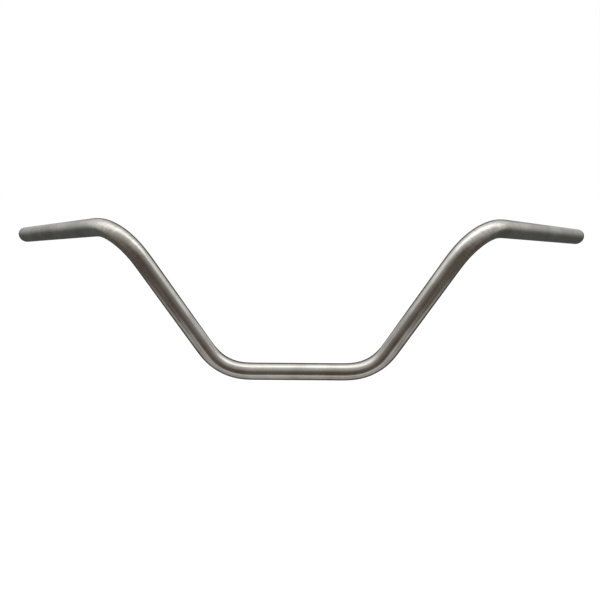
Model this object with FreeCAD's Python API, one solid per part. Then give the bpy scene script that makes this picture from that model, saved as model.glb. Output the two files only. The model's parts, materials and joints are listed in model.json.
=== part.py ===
"""One-piece motorcycle handlebar: a round steel tube with four bends and open ends.

Millimetres and degrees. The origin is the middle of the clamp run. +X runs along the
clamp run, +Y points back to the rider and +Z points up. The clamp run and both arms lie
in the XZ plane, and the grips sweep back and slightly down from it.
"""

import FreeCAD
import Part
import math
import os

Vector = FreeCAD.Vector

# Driving dimensions
TUBE_DIAMETER = 22.2     # outside of the tube, the size that risers, levers and grips fit
WALL = 2.0               # tube wall
CLAMP_RUN = 128.0        # straight run between the two lower bends
ARM_RUN = 138.0          # straight run of each arm, between its two bends
GRIP_RUN = 222.0         # straight run from each upper bend to the end of the tube
BEND_RADIUS = 58.0       # centre line radius of the one die that makes all four bends
LOWER_BEND = 60.5        # turn from the clamp run up into an arm
UPPER_BEND = 77.5        # turn from an arm out into a grip
SWEEP_TWIST = 38.0       # how far the upper bend is turned about the arm, towards the rider
BEND_FLATTENING = 0.8    # diameter that the tube loses across a bend, half way round it
END_ROUND = 1.2          # rounding of the outer edge at each end
BORE_CHAMFER = 0.5       # chamfer of the inner edge at each end

# How finely a bend is followed: sections from its start to its end
BEND_SECTIONS = 9

OUTER_RADIUS = TUBE_DIAMETER / 2
BORE_RADIUS = OUTER_RADIUS - WALL
ORIGIN = Vector(0, 0, 0)


def turned(vector, axis, degrees):
    """The vector, turned about an axis through the origin."""
    return FreeCAD.Rotation(axis, degrees).multVec(vector)


def outline(position, direction, bend_axis, radius, flattening=0.0):
    """The tube's round outline, square to its direction, or an oval that is narrower across the bend."""
    if flattening > 0:
        curve = Part.Ellipse(position, radius + flattening / 2, radius - flattening / 2)
    else:
        curve = Part.Circle(position, direction, radius)
    curve.Axis = direction
    curve.XAxis = bend_axis
    return Part.Wire(curve.toShape())


def straight_run(position, direction, bend_axis, length, radius):
    """A straight stretch of round bar. bend_axis places its seam where the bends have theirs."""
    disc = Part.Face(outline(position, direction, bend_axis, radius))
    return disc.extrude(direction * length)


def bend(position, direction, bend_axis, degrees, radius):
    """A bend of round bar, which flattens towards its middle and is round again at its ends."""
    centre = position + bend_axis.cross(direction) * BEND_RADIUS
    sections = []
    for step in range(BEND_SECTIONS):
        share = step / (BEND_SECTIONS - 1)
        turn = share * degrees
        place = centre + turned(position - centre, bend_axis, turn)
        heading = turned(direction, bend_axis, turn)
        flattening = BEND_FLATTENING * math.sin(math.pi * share) ** 2
        if step in (0, BEND_SECTIONS - 1):
            flattening = 0.0
        sections.append(outline(place, heading, bend_axis, radius, flattening))
    return Part.makeLoft(sections, True)


class Bender:
    """Feeds bar along its own direction and bends it, as a tube bender does."""

    def __init__(self, position, direction, bend_axis, radius):
        self.position = position
        self.direction = direction
        self.bend_axis = bend_axis
        self.radius = radius
        self.stretches = []

    def feed(self, length):
        piece = straight_run(self.position, self.direction, self.bend_axis, length, self.radius)
        self.stretches.append(piece)
        self.position = self.position + self.direction * length

    def turn(self, degrees):
        self.stretches.append(bend(self.position, self.direction, self.bend_axis, degrees, self.radius))
        centre = self.position + self.bend_axis.cross(self.direction) * BEND_RADIUS
        self.position = centre + turned(self.position - centre, self.bend_axis, degrees)
        self.direction = turned(self.direction, self.bend_axis, degrees)

    def roll(self, degrees):
        self.bend_axis = turned(self.bend_axis, self.direction, degrees)


def half_bar(radius):
    """The bender after it has made the +X half of the bar, from the middle of the clamp run."""
    bender = Bender(ORIGIN, Vector(1, 0, 0), Vector(0, -1, 0), radius)
    bender.feed(CLAMP_RUN / 2)
    bender.turn(LOWER_BEND)
    bender.feed(ARM_RUN)
    bender.roll(180 + SWEEP_TWIST)
    bender.turn(UPPER_BEND)
    bender.feed(GRIP_RUN)
    return bender


def whole_bar(radius):
    """Solid bar of that radius along the whole handlebar, both halves."""
    half = half_bar(radius).stretches
    mirrored = [piece.mirror(ORIGIN, Vector(1, 0, 0)) for piece in half]
    return half[0].fuse(half[1:] + mirrored).removeSplitter()


def end_edges(tube, radius):
    """The round edges of that radius at the two ends of the tube."""
    end = half_bar(radius).position
    places = (end, Vector(-end.x, end.y, end.z))
    found = []
    for edge in tube.Edges:
        curve = edge.Curve
        if isinstance(curve, Part.Circle) and math.isclose(curve.Radius, radius, abs_tol=1e-6):
            if any(curve.Center.isEqual(place, 1e-6) for place in places):
                found.append(edge)
    return found


def handlebar_tube():
    """The whole handlebar: one bent tube with its ends deburred."""
    tube = whole_bar(OUTER_RADIUS).cut(whole_bar(BORE_RADIUS))
    tube = tube.makeFillet(END_ROUND, end_edges(tube, OUTER_RADIUS))
    return tube.makeChamfer(BORE_CHAMFER, end_edges(tube, BORE_RADIUS))


os.makedirs("parts", exist_ok=True)
handlebar_tube().exportStep("parts/handlebar_tube.step")
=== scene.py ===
"""A motorcycle handlebar of bent satin steel tube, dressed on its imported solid, in a plain studio.

The row frame: metres, origin at the middle of the clamp run, +X along it, +Y back, +Z up.
"""

import bpy
import json
import math
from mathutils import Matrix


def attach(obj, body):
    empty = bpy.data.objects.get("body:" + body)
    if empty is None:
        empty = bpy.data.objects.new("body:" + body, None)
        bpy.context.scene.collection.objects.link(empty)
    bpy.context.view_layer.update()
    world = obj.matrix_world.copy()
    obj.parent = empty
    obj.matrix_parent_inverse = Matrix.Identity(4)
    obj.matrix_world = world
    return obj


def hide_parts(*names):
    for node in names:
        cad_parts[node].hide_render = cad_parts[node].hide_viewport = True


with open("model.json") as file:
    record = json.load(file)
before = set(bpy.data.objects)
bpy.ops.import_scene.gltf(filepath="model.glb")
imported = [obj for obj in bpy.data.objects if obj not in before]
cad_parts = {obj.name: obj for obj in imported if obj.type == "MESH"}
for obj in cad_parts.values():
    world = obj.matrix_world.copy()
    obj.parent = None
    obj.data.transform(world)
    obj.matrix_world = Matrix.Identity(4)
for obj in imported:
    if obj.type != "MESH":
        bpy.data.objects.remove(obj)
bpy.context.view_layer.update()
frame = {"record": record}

# The handlebar is one round steel tube with an even wall. A bender makes all four bends on one die,
# which flattens the tube a little there. The ends are sawn off and their edges broken. The outside is
# linished with a fine belt that leaves faint lines round it, and by hand on the upper bends.
MM = 0.001
mounts = {mount["name"]: mount["dims"] for mount in frame["record"]["mounts"]}
tube_radius = mounts["clamp_section"]["r_mm"] * MM
bore_radius = mounts["left_bar_end_bore"]["r_mm"] * MM
end_round = 1.2 * MM
bore_chamfer = 0.5 * MM
bending_sizes = {
    "Tube radius": tube_radius,
    "Clamp run": mounts["clamp_section"]["length_mm"] * MM,
    "Arm run": 138 * MM,
    "Grip run": 222 * MM,
    "Bend radius": 58 * MM,
    "Lower bend": math.radians(60.5),
    "Upper bend": math.radians(77.5),
    "Sweep twist": math.radians(38),
    "Flattening": 0.8 * MM,
    "Easing": 25 * MM,
}
half_length = bending_sizes["Clamp run"] / 2 + bending_sizes["Arm run"] + bending_sizes["Grip run"]
half_length += bending_sizes["Bend radius"] * (bending_sizes["Lower bend"] + bending_sizes["Upper bend"])

ring_spacing = 3 * MM
faces_around = 64
edge_steps = 5

linished_dark = (0.48, 0.455, 0.42, 1)
linished_light = (0.68, 0.655, 0.62, 1)
linished_roughness = 0.19
# A darker grey over the last few millimetres at each end of the tube
end_band_grey = (0.19, 0.18, 0.17, 1)
end_band_length = 4.0 * MM
end_band_blend = 1.5 * MM
bore_grey = (0.30, 0.285, 0.27, 1)
bore_roughness = 0.5
bore_blend = 0.3 * MM
grazing_tint = (0.75, 0.75, 0.75, 1)

# Each pass of the belt: its lines' spacing, their run round the tube, their lean along it, and its share
belt_passes = (
    (1.0 * MM, 8 * MM, 0.06, 0.25),
    (2.0 * MM, 10 * MM, -0.09, 0.35),
    (5.0 * MM, 11 * MM, 0.03, 0.40),
)
belt_depth = 0.08 * MM
belt_strength = 0.55
line_contrast = 1.8
patches_per_metre = 36.0
patch_contrast = 2.3
roughness_spread = 0.16

# Where the finishing by hand begins along each half and where most of it ends, and how far each takes
hand_strength = 1.6
hand_start = 245 * MM
hand_run_in = 40 * MM
hand_end = 325 * MM
hand_run_out = 50 * MM
hand_loss = 0.65


class Wire:
    """One socket of a node tree. Arithmetic on wires adds Math nodes, or Vector Math nodes for vectors."""

    def __init__(self, tree, socket=None):
        self.tree = tree
        self.socket = socket

    def node(self, kind, settings=None, inputs=None, output=0):
        """Adds a node, sets it up, feeds its sockets and gives one of its outputs."""
        made = self.tree.nodes.new(kind)
        for name, value in (settings or {}).items():
            setattr(made, name, value)
        for name, value in (inputs or {}).items():
            socket = self.pick(made.inputs, name)
            if isinstance(value, Wire):
                self.tree.links.new(value.socket, socket)
            else:
                socket.default_value = value
        return Wire(self.tree, self.pick(made.outputs, output))

    @staticmethod
    def pick(sockets, name):
        """The socket in use with that name, or at that place if the name is a number."""
        if isinstance(name, int):
            return sockets[name]
        return next(socket for socket in sockets if socket.name == name and socket.enabled)

    @staticmethod
    def is_vector(value):
        """Whether a wire carries a vector, or a plain value is one."""
        if isinstance(value, Wire):
            return value.socket.type == "VECTOR"
        return isinstance(value, tuple)

    def maths(self, operation, *values, output=0):
        """A Math node on numbers, or a Vector Math node if any of the values is a vector."""
        if not any(self.is_vector(value) for value in values):
            return self.node("ShaderNodeMath", {"operation": operation}, dict(enumerate(values)))
        spread = [(value,) * 3 if isinstance(value, (int, float)) else value for value in values]
        return self.node("ShaderNodeVectorMath", {"operation": operation}, dict(enumerate(spread)), output)

    def __add__(self, other):
        return self.maths("ADD", self, other)

    def __radd__(self, other):
        return self.maths("ADD", other, self)

    def __sub__(self, other):
        return self.maths("SUBTRACT", self, other)

    def __rsub__(self, other):
        return self.maths("SUBTRACT", other, self)

    def __mul__(self, other):
        return self.maths("MULTIPLY", self, other)

    def __rmul__(self, other):
        return self.maths("MULTIPLY", other, self)

    def __truediv__(self, other):
        return self.maths("DIVIDE", self, other)

    def dot(self, other):
        return self.maths("DOT_PRODUCT", self, other, output="Value")

    def length(self):
        return self.maths("LENGTH", self, output="Value")

    def between(self, low, high):
        return self.node("ShaderNodeClamp", {}, {"Value": self, "Min": low, "Max": high})

    def turned(self, axis, angle):
        inputs = {"Vector": self, "Axis": axis, "Angle": angle}
        return self.node("ShaderNodeVectorRotate", {"rotation_type": "AXIS_ANGLE"}, inputs)


def wall_outline():
    """The wall cut lengthwise: a closed outline of points (out from the surface, along the tube, 0)."""
    outside_run = half_length - end_round
    bore_run = half_length - bore_chamfer
    rings = round(half_length / ring_spacing)
    half = [(tube_radius, outside_run * ring / rings) for ring in range(rings)]
    for step in range(edge_steps + 1):
        angle = math.pi / 2 * step / edge_steps
        out = tube_radius - end_round * (1 - math.cos(angle))
        half.append((out, outside_run + end_round * math.sin(angle)))
    half.append((bore_radius + bore_chamfer, half_length))
    half += [(bore_radius, bore_run * ring / rings) for ring in range(rings, -1, -1)]
    mirrored = [(out, -along) for out, along in reversed(half[1:-1])]
    return [(out - tube_radius, along, 0) for out, along in half + mirrored]


def bending_tree(steel):
    """Turns the wall's outline into a straight tube, then bends it round the die, both halves alike."""
    tree = bpy.data.node_groups.new("tube_bending", "GeometryNodeTree")
    tree.interface.new_socket("Outline", in_out="INPUT", socket_type="NodeSocketGeometry")
    for name in bending_sizes:
        tree.interface.new_socket(name, in_out="INPUT", socket_type="NodeSocketFloat")
    tree.interface.new_socket("Tube", in_out="OUTPUT", socket_type="NodeSocketGeometry")
    bench = Wire(tree)
    entry = tree.nodes.new("NodeGroupInput")
    size = {name: Wire(tree, entry.outputs[name]) for name in bending_sizes}

    # The straight tube, with its length along Z
    outline = bench.node("GeometryNodeMeshToCurve", {}, {"Mesh": Wire(tree, entry.outputs["Outline"])})
    circle = {"Resolution": faces_around, "Radius": size["Tube radius"]}
    ring = bench.node("GeometryNodeCurvePrimitiveCircle", {"mode": "RADIUS"}, circle)
    straight = bench.node("GeometryNodeCurveToMesh", {}, {"Curve": ring, "Profile Curve": outline})
    unbent = bench.node("GeometryNodeInputPosition")
    stored = {"Geometry": straight, "Name": "unbent_tube", "Value": unbent}
    straight = bench.node("GeometryNodeStoreNamedAttribute", {"data_type": "FLOAT_VECTOR"}, stored)

    # How far a point lies along each stretch of its half, from the middle of the clamp run
    along = unbent.dot((0, 0, 1))
    reach = bench.maths("ABSOLUTE", along)
    clamp = bench.maths("MINIMUM", reach, size["Clamp run"] / 2)
    lower_turn = ((reach - clamp) / size["Bend radius"]).between(0, size["Lower bend"])
    past_lower = reach - clamp - lower_turn * size["Bend radius"]
    arm = past_lower.between(0, size["Arm run"])
    upper_turn = ((past_lower - arm) / size["Bend radius"]).between(0, size["Upper bend"])
    grip = past_lower - arm - upper_turn * size["Bend radius"]

    # The directions of the stretches, and the centre line through them
    sideways = bench.node("ShaderNodeCombineXYZ", {}, {"X": 1.0})
    lower_axis = bench.node("ShaderNodeCombineXYZ", {}, {"Y": -1.0})
    arm_way = sideways.turned(lower_axis, size["Lower bend"])
    upper_axis = lower_axis.turned(arm_way, size["Sweep twist"] + math.pi)
    grip_way = arm_way.turned(upper_axis, size["Upper bend"])
    centre = sideways * clamp + arm_way * arm + grip_way * grip

    def eased(place):
        """Rises from 0 to 1 round a place on the tube, and takes the step out of its curvature there."""
        share = ((reach - place) / size["Easing"]).between(-0.5, 0.5)
        rest = 0.5 - bench.maths("ABSOLUTE", share)
        return 0.5 + bench.maths("SIGN", share) * (0.5 - rest * rest * rest * 4)

    # The arcs. An eased arc lies inside the die's own by the easing's length squared over 24 radii
    quarter = math.pi / 2
    inset = size["Easing"] * size["Easing"] / (size["Bend radius"] * 24)
    bends = (
        (sideways, lower_axis, lower_turn, size["Lower bend"]),
        (arm_way, upper_axis, upper_turn, size["Upper bend"]),
    )
    start = size["Clamp run"] / 2
    for way, axis, turn, bend in bends:
        end = start + bend * size["Bend radius"]
        inwards = way.turned(axis, turn + quarter)
        centre = centre + (way.turned(axis, quarter) - inwards) * size["Bend radius"]
        centre = centre + inwards * (inset * (eased(start) - eased(end)))
        start = end + size["Arm run"]

    # The way out from the centre line, and what each bend takes off across it and adds along its axis
    turned_up = {"Y": unbent.dot((0, -1, 0)), "Z": unbent.dot((1, 0, 0))}
    outwards = bench.node("ShaderNodeCombineXYZ", {}, turned_up)
    radius = outwards.length()
    outwards = outwards.turned(lower_axis, lower_turn).turned(upper_axis, upper_turn)
    surface = centre + outwards
    spoke = outwards / radius
    for _, axis, turn, bend in bends:
        wave = bench.maths("SINE", turn / bend * math.pi)
        oval = axis * (spoke.dot(axis) * 2) - spoke
        surface = surface + oval * (wave * wave * size["Flattening"] / 2)

    side = {"X": bench.maths("SIGN", along), "Y": 1.0, "Z": 1.0}
    bent = surface * bench.node("ShaderNodeCombineXYZ", {}, side)
    tube = bench.node("GeometryNodeSetPosition", {}, {"Geometry": straight, "Position": bent})
    tube = bench.node("GeometryNodeSetShadeSmooth", {}, {"Geometry": tube})
    tube = bench.node("GeometryNodeRealizeInstances", {}, {"Geometry": tube})
    tube = bench.node("GeometryNodeSetMaterial", {}, {"Geometry": tube, "Material": steel})
    leave = tree.nodes.new("NodeGroupOutput")
    tree.links.new(tube.socket, leave.inputs["Tube"])
    return tree


def satin_steel():
    """Linished steel outside, darker over the last few millimetres at each end, and the duller drawn
    finish inside the bore.
    """
    material = bpy.data.materials.new("satin_steel")
    material.use_nodes = True
    tree = material.node_tree
    bench = Wire(tree)
    unbent = bench.node("ShaderNodeAttribute", {"attribute_name": "unbent_tube"}, {}, "Vector")

    def belt_lines(spacing, run, lean):
        """Noise drawn out round the tube into lines, which lean along it as the belt ran."""
        drift = bench.node("ShaderNodeCombineXYZ", {}, {"Z": unbent.dot((lean, 0, 0))})
        drawn_out = (unbent + drift) * (1 / run, 1 / run, 1 / spacing)
        noise = {"Vector": drawn_out, "Scale": 1.0, "Detail": 2.0, "Roughness": 0.6}
        return bench.node("ShaderNodeTexNoise", {}, noise, "Fac")

    def colour_mix(factor, first, second):
        inputs = {"Factor": factor, "A": first, "B": second}
        return bench.node("ShaderNodeMix", {"data_type": "RGBA"}, inputs, "Result")

    # The belt's lines and the patches it left, both about 0 where the noise is at its mean
    lines = -0.5
    for spacing, run, lean, share in belt_passes:
        lines = lines + belt_lines(spacing, run, lean) * share
    noise = {"Vector": unbent, "Scale": patches_per_metre, "Detail": 3.0}
    patches = bench.node("ShaderNodeTexNoise", {}, noise, "Fac") - 0.5

    # Where on the tube a point lies: the stretch finished by hand, the bore and the darker band at each
    # end
    reach = bench.maths("ABSOLUTE", unbent.dot((0, 0, 1)))
    radius = (unbent * (1, 1, 0)).length()
    by_hand = ((reach - hand_start) / hand_run_in).between(0, 1)
    by_hand = by_hand - ((reach - hand_end) / hand_run_out).between(0, hand_loss)
    bore = ((bore_radius + bore_chamfer - radius) / bore_blend).between(0, 1)
    end_band = ((reach - (half_length - end_band_length)) / end_band_blend).between(0, 1)

    relief = lines * (belt_strength + by_hand * hand_strength)
    shade = (0.5 + relief * line_contrast + patches * patch_contrast).between(0, 1)
    colour = colour_mix(shade, linished_dark, linished_light)
    # Darker over the last few millimetres at each end
    colour = colour_mix(end_band, colour, end_band_grey)
    colour = colour_mix(bore, colour, bore_grey)
    satin = linished_roughness + (patches + relief) * roughness_spread
    roughness = satin + (bore_roughness - satin) * bore
    normal = bench.node("ShaderNodeBump", {}, {"Height": relief, "Distance": belt_depth, "Strength": 1.0})

    surface = tree.nodes["Principled BSDF"]
    surface.inputs["Metallic"].default_value = 1.0
    surface.inputs["Specular Tint"].default_value = grazing_tint
    tree.links.new(colour.socket, surface.inputs["Base Color"])
    tree.links.new(roughness.socket, surface.inputs["Roughness"])
    tree.links.new(normal.socket, surface.inputs["Normal"])
    return material


handlebar = bpy.data.objects.new("handlebar", bpy.data.meshes.new("handlebar"))
bpy.context.scene.collection.objects.link(handlebar)
outline = wall_outline()
ring_edges = [(point, (point + 1) % len(outline)) for point in range(len(outline))]
handlebar.data.from_pydata(outline, ring_edges, [])
bending = handlebar.modifiers.new("bending", "NODES")
bending.node_group = bending_tree(satin_steel())
for socket in bending.node_group.interface.items_tree:
    if socket.name in bending_sizes:
        bending[socket.identifier] = bending_sizes[socket.name]
depsgraph = bpy.context.evaluated_depsgraph_get()
bent = bpy.data.meshes.new_from_object(
    handlebar.evaluated_get(depsgraph), preserve_all_data_layers=True, depsgraph=depsgraph
)
handlebar.modifiers.remove(bending)
handlebar.data = bent
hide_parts("handlebar_tube")
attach(handlebar, "root")

# The studio is white all round, with a wide floor well below the bar, which hangs at its riding height.
# A softbox, brightest in its middle, hangs overhead. A tent of dark gauze that only the metal sees
# stands round the bar, thinner towards its top, so that the metal gets dark bands as well.
floor_drop = 0.9
floor_radius = 8.0
floor_points = 96
floor_glow = 0.42
white_fill = 0.75

tent_middle = (0.0, 0.06, 0.06)
tent_reach = 4.0
tent_drop = 0.85
tent_rows = 60
tent_columns = 120
front_tone = (0.122, 0.104, 0.086)
rear_tone = (0.112, 0.12, 0.112)
tone_change = (-0.3, 0.5)

# Where the gauze of each side begins, as shares of the way back or ahead
front_edge = (-0.1, 0.1)
dead_ahead_edge = (0.7, 1.0)
dead_astern_edge = (0.6, 1.0)

# Where the gauze thins out, in degrees over the horizon, and by what share it does
rear_fade = (-60, 52)
rear_fade_astern = (2, 147)
front_fade = (18, 98)
front_fade_ahead = (26, 110)
front_thinning = 0.68
flank_fade = (-20, 22)
flank_thinning = 0.13
skirt_fade = (-22, 27)

# The slanted parting at the back on either side, in degrees round the bar from dead astern
parting_slant = 1.2
parting_near = (27, 34)
parting_far = (38, 55)
parting_foot = (-20, -8)
parting_thinning = 0.8

# The gauze below the bar, in degrees under the horizon or from straight down
hem_fade = (-39.3, -28.6)
hem_fade_ahead = (-24.8, -14.1)
under_fade = (-50, 2)
under_depth = (2, 32)
veil_cover = 0.64
veil_cover_ahead = 0.12
veil_depth = (4, 12)

softbox_glow = 1.02
softbox_turn = math.radians(5)
softbox_height = 1.6
softbox_aside = 0.6
softbox_front = -0.40
softbox_back = 0.95
softbox_length = 6.0
softbox_layers = 4
softbox_layer_gap = 0.01


def stage_mesh(name, points, faces):
    """A mesh of the studio, which isn't part of the handlebar."""
    mesh = bpy.data.meshes.new(name)
    mesh.from_pydata(points, [], faces)
    thing = bpy.data.objects.new(name, mesh)
    bpy.context.scene.collection.objects.link(thing)
    return thing


def white_when_seen(tree, level):
    """The level for light that falls on the bar, and 1 where the camera, metal or glass sees it."""
    rays = tree.nodes.new("ShaderNodeLightPath")
    seen = Wire(tree, rays.outputs["Is Camera Ray"])
    for kind in ("Is Glossy Ray", "Is Transmission Ray"):
        seen = seen.maths("MAXIMUM", seen, Wire(tree, rays.outputs[kind]))
    return level + seen * (1 - level)


def blend(first, second, share):
    """A list of values on the way from the first list to the second."""
    return [one + (other - one) * share for one, other in zip(first, second)]


def fade(value, edge):
    """Rises smoothly from 0 where the edge starts to 1 where it ends."""
    start, end = edge
    share = min(max((value - start) / (end - start), 0), 1)
    return share * share * (3 - 2 * share)


def gauze_cover(across, back, up):
    """How much of the white behind it the gauze hides, in a direction from the bar."""
    height = math.degrees(math.asin(up))
    over = math.degrees(math.atan2(up, abs(back)))
    turn = math.degrees(math.atan2(abs(across), back))
    dead_ahead = fade(-back, dead_ahead_edge)
    dead_astern = fade(back, dead_astern_edge)
    in_front = 1 - fade(back, front_edge)

    rear_wall = 1 - fade(over, blend(rear_fade, rear_fade_astern, dead_astern))
    front_wall = 1 - front_thinning * fade(over, blend(front_fade, front_fade_ahead, dead_ahead))
    front_wall -= flank_thinning * (1 - dead_ahead) * fade(over, flank_fade)
    wall = rear_wall + (front_wall - rear_wall) * in_front
    skirt = 1 - fade(height, skirt_fade) ** 2
    parting = fade(turn - parting_slant * height, parting_near) * (1 - fade(turn, parting_far))
    parting *= fade(height, parting_foot)
    cover = max(wall, skirt) * (1 - parting_thinning * parting)
    if up >= 0:
        return cover

    below = math.degrees(math.atan2(back, -up))
    hem = fade(height, blend(hem_fade, hem_fade_ahead, dead_ahead))
    under = fade(below, under_fade) * fade(-height, under_depth)
    veil = veil_cover + (veil_cover_ahead - veil_cover) * dead_ahead
    return max(cover * hem, under, veil * fade(-height, veil_depth))


rim = []
for point in range(floor_points):
    angle = 2 * math.pi * point / floor_points
    rim.append((floor_radius * math.cos(angle), floor_radius * math.sin(angle), -floor_drop))
floor = stage_mesh("floor", rim, [range(floor_points)])
floor_white = bpy.data.materials.new("floor_white")
floor_white.use_nodes = True
paint = floor_white.node_tree.nodes["Principled BSDF"]
paint.inputs["Base Color"].default_value = (0.8, 0.8, 0.8, 1)
paint.inputs["Roughness"].default_value = 1.0
paint.inputs["Specular IOR Level"].default_value = 0.0
paint.inputs["Emission Strength"].default_value = floor_glow
shine = white_when_seen(floor_white.node_tree, 0.0)
floor_white.node_tree.links.new(shine.socket, paint.inputs["Emission Color"])
floor.data.materials.append(floor_white)

# The tent is a ball above the bar and a shallow bowl below it
points = []
covers = []
tones = []
faces = []
for row in range(tent_rows + 1):
    rise = math.pi * (row / tent_rows - 0.5)
    squash = tent_drop / tent_reach if row < tent_rows / 2 else 1
    for column in range(tent_columns):
        way = 2 * math.pi * column / tent_columns
        across = math.cos(rise) * math.sin(way)
        back = math.cos(rise) * math.cos(way)
        up = math.sin(rise) * squash
        far = math.hypot(across, back, up)
        place = zip(tent_middle, (across, back, up))
        points.append([middle + tent_reach * part for middle, part in place])
        covers.append(gauze_cover(across / far, back / far, up / far))
        tones += blend(rear_tone, front_tone, fade(-back / far, tone_change))
        if row < tent_rows:
            here = row * tent_columns + column
            beside = row * tent_columns + (column + 1) % tent_columns
            faces.append((here, beside, beside + tent_columns, here + tent_columns))
tent = stage_mesh("gauze_tent", points, faces)
tent.data.attributes.new("cover", "FLOAT", "POINT").data.foreach_set("value", covers)
tent.data.attributes.new("tone", "FLOAT_VECTOR", "POINT").data.foreach_set("vector", tones)
for face in tent.data.polygons:
    face.use_smooth = True
tent.visible_camera = False
tent.visible_diffuse = False
tent.visible_shadow = False
tent.visible_transmission = False
gauze = bpy.data.materials.new("gauze")
gauze.use_nodes = True
bench = Wire(gauze.node_tree)
tone = bench.node("ShaderNodeAttribute", {"attribute_name": "tone"}, {}, "Color")
cloth = bench.node("ShaderNodeEmission", {}, {"Color": tone})
gap = bench.node("ShaderNodeBsdfTransparent")
cover = bench.node("ShaderNodeAttribute", {"attribute_name": "cover"}, {}, "Fac")
weave = bench.node("ShaderNodeMixShader", {}, {0: cover, 1: gap, 2: cloth})
bench.tree.links.new(weave.socket, bench.tree.nodes["Material Output"].inputs["Surface"])
tent.data.materials.append(gauze)

# The softbox is lights of growing size, a little apart in height so that a ray from the metal meets all
softbox_shift = (softbox_front + softbox_back) / 2
for layer in range(1, softbox_layers + 1):
    share = layer / softbox_layers
    glow = bpy.data.lights.new("softbox", "AREA")
    glow.shape = "RECTANGLE"
    glow.size = softbox_length * share
    glow.size_y = (softbox_back - softbox_front) * share
    glow.energy = softbox_glow / softbox_layers * math.pi * glow.size * glow.size_y
    softbox = bpy.data.objects.new("softbox", glow)
    bpy.context.scene.collection.objects.link(softbox)
    softbox.location = (
        softbox_aside - softbox_shift * math.sin(softbox_turn),
        tent_middle[1] + softbox_shift * math.cos(softbox_turn),
        tent_middle[2] + softbox_height + layer * softbox_layer_gap,
    )
    softbox.rotation_euler.z = softbox_turn
    softbox.visible_camera = False

world = bpy.data.worlds.new("white_studio")
bpy.context.scene.world = world
world.use_nodes = True
background = world.node_tree.nodes["Background"]
background.inputs["Color"].default_value = (1, 1, 1, 1)
white = white_when_seen(world.node_tree, white_fill)
world.node_tree.links.new(white.socket, background.inputs["Strength"])

# The camera stands in front of the bar and a little above it, tilted down, as in the photograph.
camera = bpy.data.objects.new("camera", bpy.data.cameras.new("camera"))
bpy.context.scene.collection.objects.link(camera)
bpy.context.scene.camera = camera
camera.data.sensor_width = 36
camera.data.lens = 27.1
camera.location = (0.0090, -0.5056, 0.3031)
camera.rotation_euler = [math.radians(angle) for angle in (68.06, -0.05, 0.72)]
bpy.context.scene.view_settings.view_transform = "Standard"
